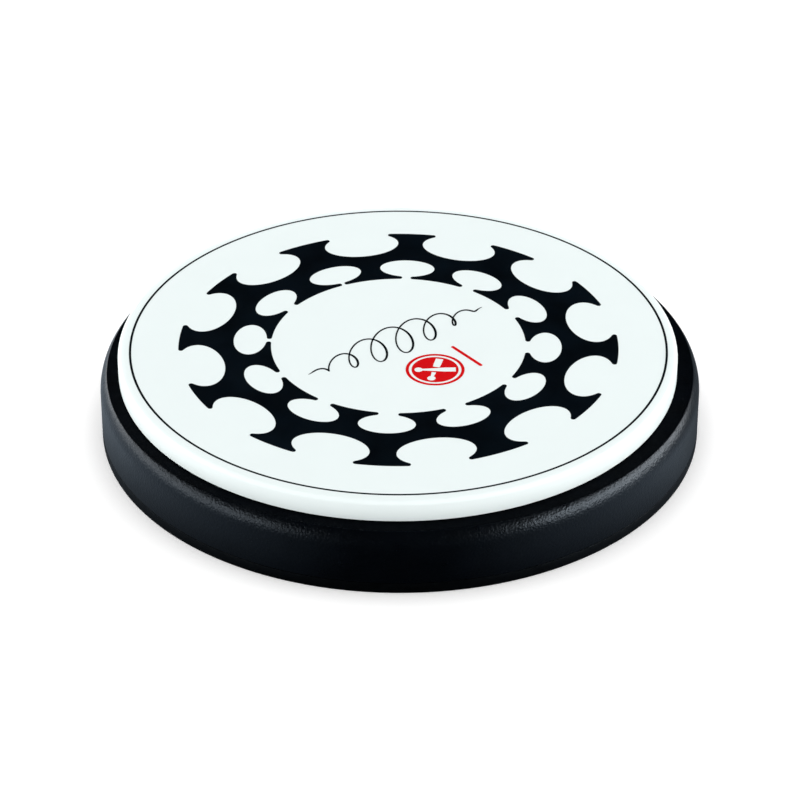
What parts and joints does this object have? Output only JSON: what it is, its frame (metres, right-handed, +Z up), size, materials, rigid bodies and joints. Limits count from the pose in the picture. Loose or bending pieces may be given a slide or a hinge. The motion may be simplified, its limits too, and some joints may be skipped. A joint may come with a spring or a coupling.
{
  "type": "practice pad",
  "caption": "Small round drum practice pad: a printed rubber playing surface on a round-shouldered board, with a non-slip sheet and a threaded stand socket beneath.",
  "frame": {"origin": "on the floor, under the centre of the round pad", "axes": "+Z up through the centre of the playing surface; +X to the right and +Y away, as one faces the pad with the emblem nearest the right hand"},
  "size_m": [0.1524, 0.1524, 0.0228],
  "materials": {
    "white_rubber": "satin, printed with a black ring pattern and a small red emblem",
    "adhesive_film": "satin",
    "black_coated_board": "fine-textured black coat",
    "black_foot_rubber": "matte",
    "zinc_plated_steel": "zinc plated",
    "screw_steel": "bright"
  },
  "bodies": {
    "root": {"playing_surface": "white_rubber", "surface_bond": "adhesive_film", "base_board": "black_coated_board", "foot_bond": "adhesive_film", "foot_sheet": "black_foot_rubber", "stand_insert": "zinc_plated_steel", "insert_screw_1": "screw_steel", "insert_screw_2": "screw_steel", "insert_screw_3": "screw_steel"}
  },
  "joints": []
}
